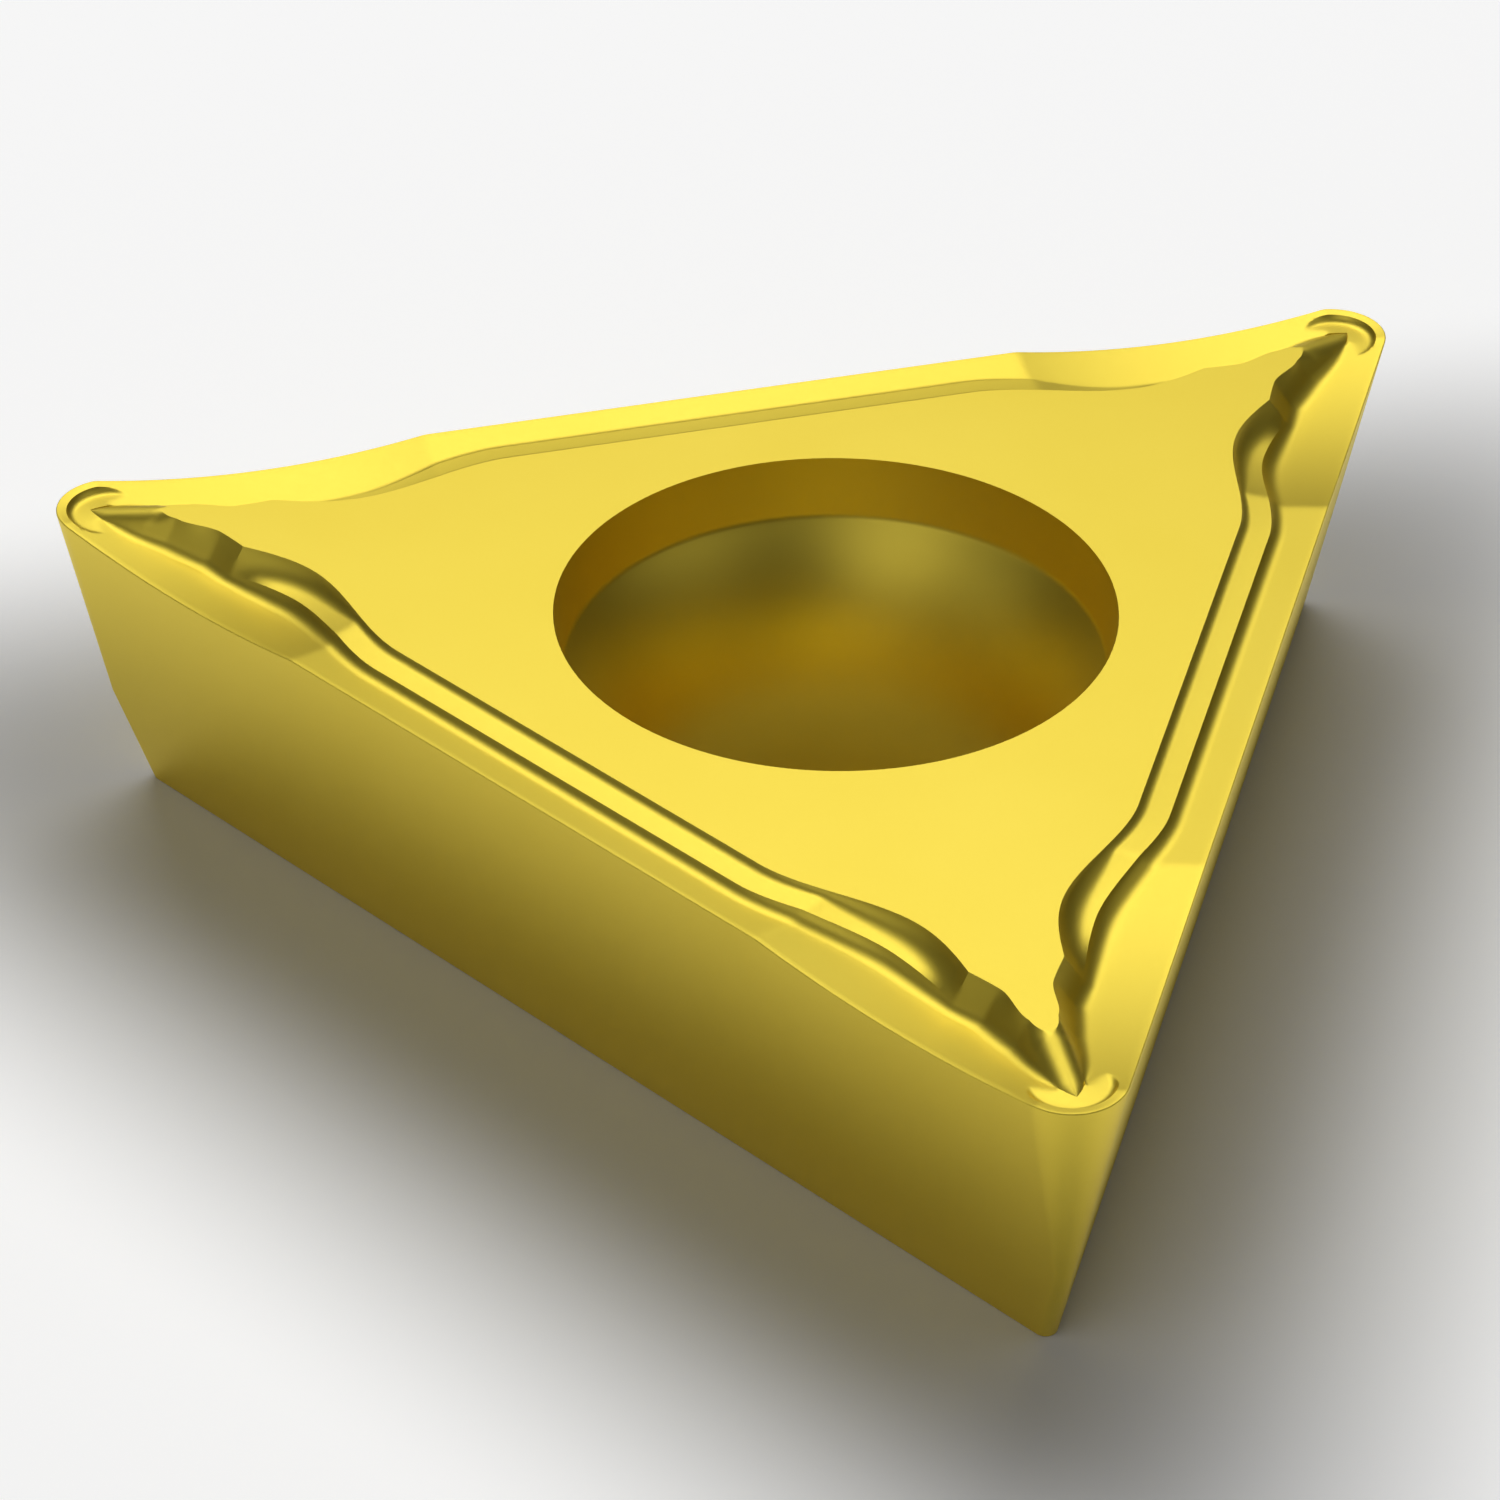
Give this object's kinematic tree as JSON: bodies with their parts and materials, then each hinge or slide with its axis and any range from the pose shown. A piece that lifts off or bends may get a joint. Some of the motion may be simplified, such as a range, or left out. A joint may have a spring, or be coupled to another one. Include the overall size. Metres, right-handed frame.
{
  "type": "carbide insert",
  "caption": "Triangular carbide turning insert with relieved flanks, rounded noses, a moulded wavy chipbreaker and a countersunk screw hole.",
  "frame": {"origin": "axis of the screw bore at the flat seating face", "axes": "+Z along the bore, from the seating face to the cutting edges; -Y towards one nose; X along the side opposite that nose"},
  "size_m": [0.0104, 0.0092, 0.0024],
  "materials": {
    "coated_carbide": "satin gold titanium nitride coating on sintered tungsten carbide"
  },
  "bodies": {
    "root": {"insert": "coated_carbide"}
  },
  "joints": []
}
